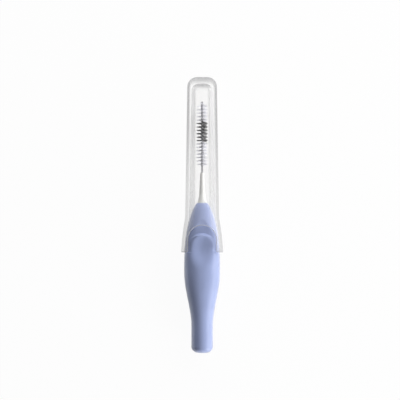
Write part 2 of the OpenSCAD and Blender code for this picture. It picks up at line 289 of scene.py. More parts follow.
class Nodes:
    """The nodes of a material or of the world, with short calls that add, fill and wire them."""

    def __init__(self, tree: bpy.types.NodeTree, output: str) -> None:
        """Takes a tree and the name of its output."""
        self.nodes, self.links = tree.nodes, tree.links
        self.output = self.nodes[output]

    def fill(self, place: Socket, value: Value) -> None:
        """Wires a socket to an input, or writes a number, a vector or a colour there.

        Args:
            place: The input.
            value: The socket to wire, or the value to write.
        """
        if isinstance(value, Socket):
            self.links.new(value, place)
        else:
            place.default_value = (*value, 1.0) if place.type == "RGBA" else value

    def set(self, node: bpy.types.Node, **inputs: Value) -> bpy.types.Node:
        """Fills a node's inputs by their names.

        Args:
            node: The node.
            **inputs: What goes into each input, in whose name a _ stands for a space.

        Returns:
            The node.
        """
        for name, value in inputs.items():
            self.fill(node.inputs[name.replace("_", " ")], value)
        return node

    def add(self, kind: str, **inputs: Value) -> bpy.types.Node:
        """Adds a node of that kind and fills its inputs."""
        return self.set(self.nodes.new(kind), **inputs)

    def fed(self, node: bpy.types.Node, *values: Value) -> Socket:
        """Fills a node's inputs in their order.

        Args:
            node: The node.
            *values: What goes into them.

        Returns:
            Its first output.
        """
        for place, value in zip(node.inputs, values):
            self.fill(place, value)
        return node.outputs[0]

    def maths(self, operation: str, *values: Value) -> Socket:
        """One sum on values, in the order that the operation takes them.

        Args:
            operation: The Math node's operation.
            *values: What it works on.

        Returns:
            The result.
        """
        node = self.add("ShaderNodeMath")
        node.operation = operation
        return self.fed(node, *values)

    def mixed(self, share: Value, first: Socket, second: Socket) -> Socket:
        """Two shaders mixed by a share of the second."""
        return self.fed(self.add("ShaderNodeMixShader"), share, first, second)

    def ramp(self, source: Socket, start: float, end: float, low: float = 0.0, high: float = 1.0) -> Socket:
        """Goes straight from low to high as the source goes from start to end, and is flat outside."""
        node = self.add("ShaderNodeMapRange", Value=source, From_Min=start, From_Max=end)
        return self.set(node, To_Min=low, To_Max=high).outputs["Result"]

    def ray(self, *kinds: str) -> Socket:
        """Tells the kinds of light ray apart.

        Args:
            *kinds: The kinds sought, as Light Path names them.

        Returns:
            1 for a ray of one of the kinds, and 0 for any other.
        """
        path = self.add("ShaderNodeLightPath")
        told, *others = (path.outputs[kind] for kind in kinds)
        for other in others:
            told = self.maths("MAXIMUM", told, other)
        return told

    def finish(self, shader: Socket) -> None:
        """Sends a shader to the output."""
        self.set(self.output, Surface=shader)


class Shader(Nodes):
    """A material's nodes round its Principled shader. Patterns are in millimetres."""

    noise_low = 0.3
    noise_high = 0.7

    def __init__(self, name: str, **inputs: Value) -> None:
        """Starts a material and fills its shader's inputs.

        Args:
            name: The material's name.
            **inputs: What goes into the Principled shader's inputs.
        """
        self.material = bpy.data.materials.new(name)
        self.material.use_nodes = True
        super().__init__(self.material.node_tree, "Material Output")
        self.surface = self.nodes["Principled BSDF"]
        self.dress(**inputs)

    def dress(self, **inputs: Value) -> None:
        """Fills the Principled shader's inputs."""
        self.set(self.surface, **inputs)

    def millimetres(self, stretch: tuple[float, float, float] = (1.0, 1.0, 1.0)) -> Socket:
        """Object coordinates in millimetres.

        Args:
            stretch: What each is divided by, which draws a pattern out that way.

        Returns:
            The coordinates.
        """
        place = self.add("ShaderNodeTexCoord").outputs["Object"]
        scale = tuple(1 / (MM * s) for s in stretch)
        return self.add("ShaderNodeMapping", Vector=place, Scale=scale).outputs["Vector"]

    def noise(self, place: Socket, size: float, detail: float = 2.0) -> Socket:
        """Soft noise whose patches are about size millimetres across."""
        return self.add("ShaderNodeTexNoise", Vector=place, Scale=1 / size, Detail=detail).outputs[0]

    def spread(self, source: Socket, low: float = 0.0, high: float = 1.0) -> Socket:
        """Spreads the values that noise mostly has from low to high."""
        return self.ramp(source, self.noise_low, self.noise_high, low, high)

    def blend(self, share: Socket, first: Colour, second: Colour) -> Socket:
        """A colour that goes from the first to the second as the share does.

        Args:
            share: The share of the second.
            first: The colour at 0.
            second: The colour at 1.

        Returns:
            The colour.
        """
        node = self.add("ShaderNodeMix")
        node.data_type = "RGBA"
        # Of this node's inputs 0 is the share and 6 and 7 are the colours, and output 2 is theirs.
        for place, value in zip((0, 6, 7), (share, first, second)):
            self.fill(node.inputs[place], value)
        return node.outputs[2]

    def grain(self, height: Socket, depth: float, below: Socket | None = None) -> Socket:
        """A bump by a pattern.

        Args:
            height: The pattern.
            depth: Its depth in millimetres.
            below: Another bump that it is laid over.

        Returns:
            The bumped normal.
        """
        bump = self.add("ShaderNodeBump", Height=height, Strength=1.0, Distance=depth * MM)
        if below is not None:
            self.set(bump, Normal=below)
        return bump.outputs["Normal"]

    def carried(self, share: Share) -> Socket:
        """Reads a share that the surface carries for each of its points.

        Args:
            share: Which one.

        Returns:
            The share.
        """
        node = self.add("ShaderNodeAttribute")
        node.attribute_name = share.value
        return node.outputs["Fac"]


@dataclass(frozen=True)
class SatinPlastic:
    """Soft satin plastic of the handle, with a fine mould grain, a ripple and faint flow patches."""

    light: Colour = paint(151, 164, 205)
    deep: Colour = paint(145, 158, 199)
    flow_size: float = 5.0
    grain_size: float = 0.16
    grain_detail: float = 3.0
    grain_depth: float = 0.012
    ripple_size: float = 1.6
    ripple_depth: float = 0.02
    roughness_low: float = 0.36
    roughness_high: float = 0.44
    specular: float = 0.9
    sheen: float = 1.0
    sheen_roughness: float = 0.4
    coat: float = 0.15
    coat_roughness: float = 0.35

    def material(self) -> bpy.types.Material:
        """Makes the finish.

        Returns:
            The material.
        """
        shader = Shader(
            "satin_lavender_plastic", Specular_IOR_Level=self.specular,
            Sheen_Weight=self.sheen, Sheen_Roughness=self.sheen_roughness,
            Coat_Weight=self.coat, Coat_Roughness=self.coat_roughness,
        )
        place = shader.millimetres()
        flow = shader.spread(shader.noise(place, self.flow_size))
        grain = shader.noise(place, self.grain_size, self.grain_detail)
        ripple = shader.grain(shader.noise(place, self.ripple_size), self.ripple_depth)
        shader.dress(
            Base_Color=shader.blend(flow, self.light, self.deep),
            Roughness=shader.spread(grain, self.roughness_low, self.roughness_high),
            Normal=shader.grain(grain, self.grain_depth, ripple),
        )
        return shader.material


@dataclass(frozen=True)
class HardPlastic:
    """Hard white plastic of the core and neck, smoother than the handle."""

    light: Colour = paint(235, 235, 231)
    deep: Colour = paint(228, 228, 225)
    flow_size: float = 2.5
    grain_size: float = 0.1
    grain_depth: float = 0.003
    roughness_low: float = 0.24
    roughness_high: float = 0.34

    def material(self) -> bpy.types.Material:
        """Makes the finish.

        Returns:
            The material.
        """
        shader = Shader("hard_white_plastic")
        place = shader.millimetres()
        flow = shader.spread(shader.noise(place, self.flow_size))
        grain = shader.noise(place, self.grain_size)
        shader.dress(
            Base_Color=shader.blend(flow, self.light, self.deep),
            Roughness=shader.spread(grain, self.roughness_low, self.roughness_high),
            Normal=shader.grain(grain, self.grain_depth),
        )
        return shader.material


@dataclass(frozen=True)
class DrawnSteel:
    """Bright stainless wire, with fine scratches drawn out along it."""

    light: Colour = paint(184, 184, 188)
    deep: Colour = paint(138, 138, 144)
    scratch_size: float = 0.03
    scratch_stretch: float = 12.0
    scratch_detail: float = 3.0
    scratch_depth: float = 0.002
    roughness_low: float = 0.22
    roughness_high: float = 0.38

    def material(self) -> bpy.types.Material:
        """Makes the finish.

        Returns:
            The material.
        """
        shader = Shader("drawn_steel_wire", Metallic=1.0)
        place = shader.millimetres((1.0, self.scratch_stretch, 1.0))
        scratch = shader.noise(place, self.scratch_size, self.scratch_detail)
        shader.dress(
            Base_Color=shader.blend(shader.spread(scratch), self.light, self.deep),
            Roughness=shader.spread(scratch, self.roughness_low, self.roughness_high),
            Normal=shader.grain(scratch, self.scratch_depth),
        )
        return shader.material


@dataclass(frozen=True)
class Nylon:
    """Fine nylon filaments, whose colour differs a little from strand to strand.

    A lamp's light goes through a strand in the colour of the shade.
    """

    name: str
    light: Colour
    deep: Colour
    shade: Colour
    strand_size: float = 0.12
    strand_detail: float = 1.0
    roughness_low: float = 0.38
    roughness_high: float = 0.55

    @classmethod
    def of(cls, slot: Slot) -> "Nylon":
        """Picks the nylon of a length of filaments.

        Args:
            slot: The length's slot.

        Returns:
            The nylon.
        """
        if slot is Slot.DARK:
            return cls("dark_nylon", paint(34, 32, 40), paint(14, 13, 19), (0.05, 0.05, 0.05))
        return cls("pale_nylon", paint(237, 237, 240), paint(222, 222, 228), (0.75, 0.75, 0.75))

    def material(self) -> bpy.types.Material:
        """Makes the finish.

        Returns:
            The material.
        """
        shader = Shader(self.name)
        strands = shader.noise(shader.millimetres(), self.strand_size, self.strand_detail)
        shader.dress(
            Base_Color=shader.blend(shader.spread(strands), self.light, self.deep),
            Roughness=shader.spread(strands, self.roughness_low, self.roughness_high),
        )
        shade = shader.add("ShaderNodeBsdfTransparent", Color=self.shade).outputs[0]
        shader.finish(shader.mixed(shader.ray("Is Shadow Ray"), shader.surface.outputs[0], shade))
        return shader.material


@dataclass(frozen=True)
class ClearPlastic:
    """Clear polished plastic of the cap, glossier where it turns away, where painted edge shade also makes
    it dimmer and milkier.
    """

    clear: Colour = (0.998, 0.997, 0.996)
    # Grey that the painted edge shade tints towards.
    edge: Colour = (0.67, 0.67, 0.675)
    edge_reach: float = 0.38
    milk: Colour = paint(245, 245, 245)
    milk_roughness: float = 0.4
    least_milk: float = 0.01
    # Milk of the painted edge shade and light.
    painted_edge_milk: float = 0.12
    # Painted glow and painted shade of the cavity's corners.
    inner_painted_glow: float = 0.6
    inner_painted_shade: Colour = (0.9, 0.9, 0.9)
    inner_from: float = 0.01
    inner_full: float = 0.14
    glow_through: float = 0.5
    # Painted highlight line on the lip, as frosted milk.
    lip_painted_highlight: float = 0.26
    least_gloss: float = 0.035
    edge_gloss: float = 0.3
    gloss_power: float = 5.0
    shade: Colour = (0.95, 0.95, 0.955)
    lip_shade: Colour = (0.6, 0.6, 0.62)
    wave_size: float = 3.0
    wave_stretch: float = 2.5
    wave_detail: float = 1.0
    wave_depth: float = 0.004
    roughness_low: float = 0.03
    roughness_high: float = 0.08

    def material(self) -> bpy.types.Material:
        """Makes the finish.

        Of the light, least_gloss is mirrored where the surface is faced, and edge_gloss more at the very
        edge, by the power of how far it turns away. The rest goes through, but for a small share of milk,
        of which least_milk is the plastic's own faint haze. The painted_edge_milk and the grey tint are
        painted shade and light at the edges, in place of the dark edges that a clear wall gets from bending
        light: they grow straight as the surface turns away by up to edge_reach, times the edge share of
        each point. By their inner share, the cavity's corners get a painted glow of light caught inside the
        wall, milk by up to inner_painted_glow, and painted shade that darkens what is behind them by the
        inner_painted_shade.
        Of the milk, glow_through is lit from behind. By their lip share, the lip's points get a painted
        highlight line of frosted milk, at least lip_painted_highlight. A lamp's light goes through in the
        colour of the shade, or of the lip_shade at the lip, which throws more of it aside.

        Returns:
            The material.
        """
        shader = Shader(
            "clear_polished_plastic", Base_Color=self.milk,
            Roughness=self.milk_roughness, Specular_IOR_Level=0.0,
        )
        place = shader.millimetres((1.0, self.wave_stretch, 1.0))
        waves = shader.noise(place, self.wave_size, self.wave_detail)
        wavy = shader.grain(waves, self.wave_depth)
        away = shader.add("ShaderNodeLayerWeight", Normal=wavy).outputs["Facing"]
        lip = shader.carried(Share.LIP)

        # Painted shade at the edges, by how far the surface turns away and by the edge share.
        dimming = shader.ramp(away, 0.0, self.edge_reach)
        dimming = shader.maths("MULTIPLY", dimming, shader.carried(Share.EDGE))
        # Painted glow and painted shade in the cavity's corners, by the inner share.
        caught = shader.ramp(away, self.inner_from, self.inner_full)
        caught = shader.maths("MULTIPLY", caught, shader.carried(Share.INNER))
        dimmed, walled, cast = (
            shader.add("ShaderNodeBsdfTransparent", Color=colour).outputs[0]
            for colour in (
                shader.blend(dimming, self.clear, self.edge),
                self.inner_painted_shade,
                shader.blend(lip, self.shade, self.lip_shade),
            )
        )

        # Milk: the faint haze, raised by the painted edge milk, the corners' painted glow and the lip's
        # painted highlight.
        haze_and_painted_glow = shader.maths("MULTIPLY_ADD", dimming, self.painted_edge_milk, self.least_milk)
        for share, most in ((caught, self.inner_painted_glow), (lip, self.lip_painted_highlight)):
            haze_and_painted_glow = shader.maths("MAXIMUM", haze_and_painted_glow, shader.maths("MULTIPLY", share, most))
        glow = shader.add("ShaderNodeBsdfTranslucent", Color=self.milk).outputs[0]
        milk = shader.mixed(self.glow_through, shader.surface.outputs[0], glow)
        body = shader.mixed(haze_and_painted_glow, shader.mixed(caught, dimmed, walled), milk)

        polish = shader.spread(waves, self.roughness_low, self.roughness_high)
        gloss = shader.add("ShaderNodeBsdfGlossy", Roughness=polish, Normal=wavy).outputs[0]
        mirrored = shader.maths("POWER", away, self.gloss_power)
        mirrored = shader.maths("MULTIPLY_ADD", mirrored, self.edge_gloss, self.least_gloss)
        seen = shader.mixed(mirrored, body, gloss)
        shader.finish(shader.mixed(shader.ray("Is Shadow Ray"), seen, cast))
        return shader.material


@dataclass(frozen=True)
class Handle:
    """The moulded handle with a dished thumb pad on its front and back. Sizes in millimetres."""

    length: float = 38.7
    belly_width: float = 9.36
    belly_thickness: float = 7.7
    tail_diameter: float = 5.6
    tail_length: float = 6.9
    tail_round: float = 1.6
    swell_length: float = 13.8
    belly_length: float = 1.5
    belly_squareness: float = 2.15
    exit_radius: float = 1.43
    exit_round: float = 0.1
    dish_top_reach: float = 3.1
    dish_side_reach: float = 4.0
    dish_low_reach: float = 6.4
    dish_depth: float = 1.1
    dish_drop: float = 2.1
    dish_side_power: float = 1.6
    dish_top_power: float = 0.6
    dish_low_power: float = 3.2
    crest_diameter: float = 7.5
    crest_slope: float = 0.75
    pad_side_slope: float = 0.55
    pad_gap: float = 0.25
    crest_share: float = 0.2
    points_round: int = 224
    tail_rings: int = 14
    post_rings: int = 8
    swell_rings: int = 60
    shoulder_rings: int = 150
    top_rings: int = 40
    exit_rings: int = 5

    @property
    def shoulder(self) -> float:
        """Height at which the belly ends and the shoulder begins."""
        return self.tail_length + self.swell_length + self.belly_length

    def swell(self, z: Array) -> Array:
        """How far the handle has swollen from tail to belly, from 0 to 1."""
        return smooth((z - self.tail_length) / self.swell_length)

    def ogive(self, z: Array, half: float) -> Array:
        """Quarter ellipse that falls from 1 at the shoulder to the exit's share of half at the top.

        Args:
            z: Height.
            half: Half of the belly's size.

        Returns:
            The share of half that is left at that height.
        """
        reach = (self.length - self.shoulder) / math.sqrt(1 - (self.exit_radius / half) ** 2)
        past = np.clip((z - self.shoulder) / reach, 0.0, 1.0)
        return np.sqrt(1 - past**2)

    def half_size(self, z: Array, belly: float) -> Array:
        """Half width or half thickness at height z, for a belly of that full size."""
        swollen = mix(self.tail_diameter / 2, belly / 2, self.swell(z)) * self.ogive(z, belly / 2)
        return swollen - rounding(z, self.tail_round)

    def pad_share(self, x: Array, z: Array, arch: "Arch") -> Array:
        """How far a point lies on the pad, not on the shoulder, with a ramp between them inside the arch.

        The ramp's foot is the nearer of two outlines, an arch pad_gap inside the cap's and the crest's
        own, lower arch round the middle of the dish. It is pad_side_slope wide along the first and
        crest_slope along the second, straight, and rounded off at its top over crest_share of its width.

        Args:
            x: Distance to the side.
            z: Height.
            arch: The cap's opening.

        Returns:
            1 on the pad and 0 on the shoulder.
        """
        inside_arch = arch.width / 2 - self.pad_gap - np.hypot(x, np.maximum(0.0, z - arch.middle))
        rise = np.maximum(0.0, z - arch.middle + self.dish_drop)
        inside_crest = self.crest_diameter / 2 - np.hypot(x, rise)
        left = 1 - np.minimum(inside_arch / self.pad_side_slope, inside_crest / self.crest_slope)
        return np.maximum(0.0, 1 - soft_max(left, np.zeros_like(left), self.crest_share))

    def dish(self, x: Array, z: Array, arch: "Arch") -> Array:
        """Depth of the dish, a scoop that is steep below its crest and runs out towards the tail.

        It is dish_depth times 1 less the squared share of its reach, which differs to the sides, upwards
        and downwards, to a power that goes from dish_side_power at the sides to dish_top_power at the top
        and dish_low_power at the bottom.

        Args:
            x: Distance to the side.
            z: Height.
            arch: The cap's opening, whose middle the dish hangs from.

        Returns:
            The depth, 0 outside the dish.
        """
        rise = z - arch.middle + self.dish_drop
        lengthwise = rise / np.where(rise < 0, self.dish_low_reach, self.dish_top_reach)
        share = np.hypot(x / self.dish_side_reach, lengthwise)
        end_power = np.where(rise < 0, self.dish_low_power, self.dish_top_power)
        power = mix(self.dish_side_power, end_power, (lengthwise / np.maximum(share, MM)) ** 2)
        return self.dish_depth * np.clip(1 - share**2, 0.0, 1.0) ** power

    def rings(self, heights: Array, cap: "Cap") -> Array:
        """Rings of the handle's outside.

        A ring is a superellipse: x is the half width times the cosine of the turn, and y the half
        thickness times its sine, each raised to 2 over the squareness. Under the cap the half thickness
        keeps inside the cavity, on the pads it doesn't, and the dish is taken off the pads.

        Args:
            heights: Height of each ring.
            cap: The cap that the shoulder fits.

        Returns:
            The rings' points.
        """
        z = heights[:, None]
        turn = even_turns(self.points_round)
        squareness = mix(2.0, self.belly_squareness, self.swell(z) * self.ogive(z, self.belly_width / 2))
        x = self.half_size(z, self.belly_width) * signed_power(np.cos(turn), 2 / squareness)
        s = np.abs(np.sin(turn)) ** (2 / squareness)
        shoulder = self.half_size(z, self.belly_thickness) * s
        held_in = np.maximum(0.0, np.minimum(shoulder, cap.cavity_front(x, z) - cap.fit_gap))
        shoulder = np.where(z < cap.mouth, shoulder, held_in)
        on_pad = np.where(z < self.shoulder, 0.0, self.pad_share(x, z, cap.arch))
        y = mix(shoulder, self.belly_thickness / 2 * s, on_pad) - self.dish(x, z, cap.arch) * s
        return np.stack([x, np.sign(np.sin(turn)) * y, np.broadcast_to(z, x.shape)], axis=-1)

    def surface(self, cap: "Cap", core: "Core") -> Surface:
        """The whole moulding: outside from tail to exit, then the hollow that the core fills.

        The tail rounds over in steps of equal turn. So does the exit, whose rings shrink by the exit_round
        times 1 less the cosine of the turn and rise by the exit_round times its sine.

        Args:
            cap: The cap that the shoulder fits.
            core: The core that fills the hollow.

        Returns:
            The closed surface.
        """
        crown = cap.arch.top + cap.fit_gap
        stretches = (
            (self.tail_round, self.tail_length, self.post_rings),
            (self.tail_length, self.shoulder, self.swell_rings),
            (self.shoulder, crown, self.shoulder_rings),
        )
        outside = self.rings(np.concatenate([
            self.tail_round * (1 - np.cos(np.linspace(0.0, QUARTER_TURN, self.tail_rings)))[:-1],
            *(np.linspace(low, high, count, endpoint=False) for low, high, count in stretches),
            crowding(crown, self.length - self.exit_round, self.top_rings),
        ]), cap)
        turns = np.linspace(0.0, QUARTER_TURN, self.exit_rings)[1:, None, None]
        rounded = outside[-1:] * (1 - self.exit_round * (1 - np.cos(turns)) / self.exit_radius)
        rounded[..., 2] = self.length - self.exit_round * (1 - np.sin(turns[..., 0]))
        inside = turned(core.hollow_profile(), self.points_round)
        return Surface.skin(np.concatenate([outside, rounded, inside]))

    def build(self, lay: Lay, cap: "Cap", core: "Core") -> None:
        """Builds and dresses the grip."""
        piece = Piece("handle_grip", Body.HANDLE, Slot.HANDLE, ("grip",))
        piece.fit(self.surface(cap, core), lay, SatinPlastic().material())


@dataclass(frozen=True)
class Core:
    """The white core: a spine with collars inside the handle, and the neck. Sizes in millimetres."""

    handle: Handle
    neck_length: float = 8.0
    foot_diameter: float = 2.5
    low_diameter: float = 1.74
    flare_length: float = 3.0
    tip_diameter: float = 1.02
    tip_round: float = 0.16
    spine_diameter: float = 2.9
    spine_length: float = 33.0
    spine_depth: float = 2.4
    collar_diameter: float = 3.8
    collar_height: float = 0.9
    collar_count: int = 3
    bond: float = 0.01
    sides: int = 96
    shank_rings: int = 60
    tip_rings: int = 7

    @property
    def neck_top(self) -> float:
        """Height at which the wire leaves the neck."""
        return self.handle.length + self.neck_length

    def neck_radius(self, z: Array) -> Array:
        """Radius of the neck: a straight taper, and a flare that grows by the square towards the foot.

        Args:
            z: Height.

        Returns:
            The radius.
        """
        above = z - self.handle.length
        taper = mix(self.low_diameter, self.tip_diameter, above / self.neck_length) / 2
        flare = (self.foot_diameter - self.low_diameter) / 2
        return taper + flare * (1 - np.clip(above / self.flare_length, 0.0, 1.0)) ** 2

    def spine_profile(self, margin: float) -> Array:
        """Outline of the foot, the spine and its collars.

        Args:
            margin: How far the outline is moved outwards.

        Returns:
            Radius and height of its corners, from the top down.
        """
        top = self.handle.length - self.spine_depth
        low = top - self.spine_length
        foot, spine, collar = (
            diameter / 2 + margin
            for diameter in (self.foot_diameter, self.spine_diameter, self.collar_diameter)
        )
        half = self.collar_height / 2 + margin
        middles = low + np.arange(self.collar_count, 0, -1) * self.spine_length / (self.collar_count + 1)
        collars = [
            (radius, middle + side * half)
            for middle in middles
            for radius, side in ((spine, 1), (collar, 1), (collar, -1), (spine, -1))
        ]
        return np.array([(foot, top + margin), (spine, top + margin), *collars, (spine, low - margin)])

    def hollow_profile(self) -> Array:
        """Radius and height of the hollow in the handle, from its mouth down to its end."""
        mouth = (self.foot_diameter / 2 + self.bond, self.handle.length)
        return np.concatenate([[mouth], self.spine_profile(self.bond)])

    def build(self, lay: Lay, wire: "Wire") -> None:
        """Turns and dresses the core, from the spine's end up to the neck's and down the wire's bore.

        Args:
            lay: Where the brush lies.
            wire: The wire that runs into the neck.
        """
        shank = np.linspace(self.handle.length, self.neck_top - self.tip_round, self.shank_rings)
        turns = np.linspace(0.0, QUARTER_TURN, self.tip_rings)[1:]
        rounded = self.neck_radius(shank[-1:]) - self.tip_round + self.tip_round * np.cos(turns)
        bore = wire.bundle_radius + self.bond
        profile = np.concatenate([
            self.spine_profile(0.0)[::-1],
            np.stack([self.neck_radius(shank), shank], axis=-1),
            np.stack([rounded, self.neck_top - self.tip_round * (1 - np.sin(turns))], axis=-1),
            [(bore, self.neck_top), (bore, wire.low - wire.diameter / 2)],
        ])
        piece = Piece("core_and_neck", Body.HANDLE, Slot.CORE, ("core",))
        piece.fit(Surface.skin(turned(profile, self.sides)), lay, HardPlastic().material())


@dataclass(frozen=True)
class Wire:
    """The steel wire, folded in two and twisted, with its fold at the tip. Sizes in millimetres."""

    core: Core
    diameter: float = 0.24
    pitch: float = 1.8
    pinch: float = 0.07
    embedded: float = 9.1
    brush_top: float = 65.1
    stub: float = 0.12
    hand: int = -1
    sides: int = 14
    rings_per_twist: int = 44
    fold_rings: int = 18

    @property
    def low(self) -> float:
        """Height of the wire's two ends inside the core."""
        return self.core.neck_top - self.embedded

    @property
    def leg_radius(self) -> float:
        """Distance from the axis to the middle of either leg."""
        return (self.diameter + self.pinch) / 2

    @property
    def bundle_radius(self) -> float:
        """Distance from the axis to the outside of the twisted pair."""
        return self.leg_radius + self.diameter / 2

    @property
    def fold(self) -> float:
        """Height at which the legs run into the fold."""
        return self.brush_top + self.stub

    def twist(self, z: Array) -> Array:
        """Turn of the pair: steady, then dying out over half a pitch to the fold.

        Args:
            z: Height.

        Returns:
            The turn in radians.
        """
        ramp = self.pitch / 2
        past = np.maximum(0.0, z - (self.fold - ramp))
        return self.hand * FULL_TURN / self.pitch * (z - self.low - past**2 / (2 * ramp))

    def twist_rate(self, z: Array) -> Array:
        """How fast the twist turns, in radians a millimetre."""
        ramp = self.pitch / 2
        return self.hand * FULL_TURN / self.pitch * (1 - np.clip((z - self.fold + ramp) / ramp, 0.0, 1.0))

    def tube(self, middle: Array, outward: Array, way: Array) -> Array:
        """Rings of the wire: outward and the direction square to it, by the cosine and sine of the turn.

        Args:
            middle: Points of the wire's path.
            outward: Unit vector away from the axis at each point.
            way: Unit vector along the path at each point.

        Returns:
            The rings' points.
        """
        turn = even_turns(self.sides)[:, None] + FULL_TURN / self.sides / 2
        side = np.cross(way, outward)
        spread = outward[:, None, :] * np.cos(turn) + side[:, None, :] * np.sin(turn)
        return middle[:, None, :] + self.diameter / 2 * spread

    def leg(self, z: Array, up: int) -> Array:
        """Rings of one leg, a helix of the leg radius.

        Args:
            z: Height of each ring.
            up: 1 where the leg is climbed, -1 where it is descended, on the other side of the axis.

        Returns:
            The rings' points.
        """
        turn = self.twist(z) + (0.0 if up > 0 else math.pi)
        outward = spokes(turn)
        way = self.leg_radius * self.twist_rate(z)[:, None] * spokes(turn + QUARTER_TURN) + UP
        way *= up / np.linalg.norm(way, axis=-1, keepdims=True)
        return self.tube(self.leg_radius * outward + z[:, None] * UP, outward, way)

    def bend(self) -> Array:
        """Rings of the fold: half a circle of the leg radius over the end of the twist.

        Returns:
            The rings' points.
        """
        rise = np.linspace(0.0, math.pi, self.fold_rings + 1)[1:-1, None]
        across = spokes(self.twist(np.array(self.fold)))
        outward = np.cos(rise) * across + np.sin(rise) * UP
        way = np.cos(rise) * UP - np.sin(rise) * across
        return self.tube(self.leg_radius * outward + self.fold * UP, outward, way)

    def build(self, lay: Lay) -> None:
        """Sweeps the whole wire as one tube, up one leg, over the fold and down the other.

        Args:
            lay: Where the brush lies.
        """
        count = math.ceil((self.fold - self.low) / self.pitch * self.rings_per_twist)
        z = np.linspace(self.low, self.fold, count + 1)
        rings = np.concatenate([self.leg(z, 1), self.bend(), self.leg(z[::-1], -1)])
        piece = Piece("twisted_wire", Body.HANDLE, Slot.WIRE, ("wire",))
        piece.fit(Surface.skin(rings), lay, DrawnSteel().material())


@dataclass(frozen=True)
class Zone:
    """One length of the brush: the piece's name, its node, its slot and where it lies."""

    name: str
    node: str
    slot: Slot
    low: float
    length: float


@dataclass(frozen=True)
class Brush:
    """The filaments that the twisted wire pinches along its axis. Sizes in millimetres."""

    wire: Wire
    diameter: float = 3.0
    stem: float = 1.9
    base_length: float = 6.3
    dark_length: float = 5.4
    tip_length: float = 4.8
    strand_diameter: float = 0.058
    tip_taper: float = 0.75
    strands_per_twist: int = 92
    end_fade: float = 1.2
    end_fade_share: float = 0.22
    ragged_share: float = 0.07
    height_scatter: float = 0.035
    turn_scatter: float = 0.045
    bow: float = 0.07
    sides: int = 5
    rings: int = 13
    seed: int = 7

    def zones(self) -> tuple[Zone, ...]:
        """Stacks the three lengths of filaments.

        Returns:
            The lengths, from the neck to the tip.
        """
        base = self.wire.core.neck_top + self.stem
        dark = base + self.base_length
        tip = dark + self.dark_length
        return (
            Zone("base_filaments_pale", "base_filaments", Slot.PALE, base, self.base_length),
            Zone("middle_filaments_dark", "dark_filaments", Slot.DARK, dark, self.dark_length),
            Zone("tip_filaments_pale", "tip_filaments", Slot.PALE, tip, self.tip_length),
        )

    def reach(self, z: Array, uneven: Array) -> Array:
        """Half length of the strands, shorter at both ends of the brush by the square of how near they are.

        Args:
            z: Height of each strand.
            uneven: How far each falls short, from 0 to 1 for a ragged_share of the radius.

        Returns:
            The half lengths.
        """
        zones = self.zones()
        low, high = zones[0].low, zones[-1].low + zones[-1].length
        from_end = np.clip(np.minimum(z - low, high - z) / self.end_fade, 0.0, 1.0)
        fade = self.end_fade_share * (1 - from_end) ** 2
        return self.diameter / 2 * (1 - fade - self.ragged_share * uneven)

    def strands(self, zone: Zone) -> Array:
        """Rings of every strand in a zone.

        A strand runs straight through the axis, square to the wire, from minus to plus its reach. Its
        turn is the wire's twist and a quarter, with some scatter. Both ends bow along the wire and
        sideways by the square of the way out, and the strand thins by tip_taper towards them.

        Args:
            zone: The length of filaments.

        Returns:
            Points by strand, ring along it and place round it.
        """
        draw = np.random.default_rng(self.seed + int(zone.low))
        count = int(zone.length / (self.wire.pitch / self.strands_per_twist))
        z = zone.low + (np.arange(count) + 0.5) * zone.length / count
        z = z + draw.normal(0.0, self.height_scatter, count)
        z = np.clip(z, zone.low + self.strand_diameter, zone.low + zone.length - self.strand_diameter)
        turn = self.wire.twist(z) + QUARTER_TURN + draw.normal(0.0, self.turn_scatter, count)
        reaches = [self.reach(z, draw.random(count)) for _ in range(2)]
        bows = [draw.normal(0.0, self.bow, (count, 2)).T for _ in range(2)]
        out = np.linspace(-1.0, 1.0, self.rings)
        squared = out**2
        reach, lift, sway = (np.where(out < 0, a[:, None], b[:, None]) for a, b in (reaches, *bows))
        along, across = (spokes(turn + quarter)[:, None, :] for quarter in (0.0, QUARTER_TURN))
        middle = (
            along * (out * reach)[..., None]
            + across * (sway * squared)[..., None]
            + UP * (z[:, None] + lift * squared)[..., None]
        )
        radius = self.strand_diameter / 2 * mix(1.0, self.tip_taper, squared)
        spin = even_turns(self.sides)[:, None]
        spread = across[:, :, None, :] * np.cos(spin) + UP * np.sin(spin)
        return middle[:, :, None, :] + spread * radius[None, :, None, None]

    def build(self, lay: Lay) -> None:
        """Makes and dresses the three lengths of filaments.

        Args:
            lay: Where the brush lies.
        """
        finishes = {slot: Nylon.of(slot).material() for slot in (Slot.PALE, Slot.DARK)}
        for zone in self.zones():
            piece = Piece(zone.name, Body.HANDLE, zone.slot, (zone.node,))
            piece.fit(Surface.strands(self.strands(zone)), lay, finishes[zone.slot])


@dataclass(frozen=True)
class Arch:
    """The opening in the front and back of the cap's mouth. Sizes in millimetres."""

    width: float = 7.2
    height: float = 6.9
    mouth: float = 25.9

    @property
    def top(self) -> float:
        """Height of the top of the arch."""
        return self.mouth + self.height

    @property
    def middle(self) -> float:
        """Height of the middle of its round top."""
        return self.top - self.width / 2


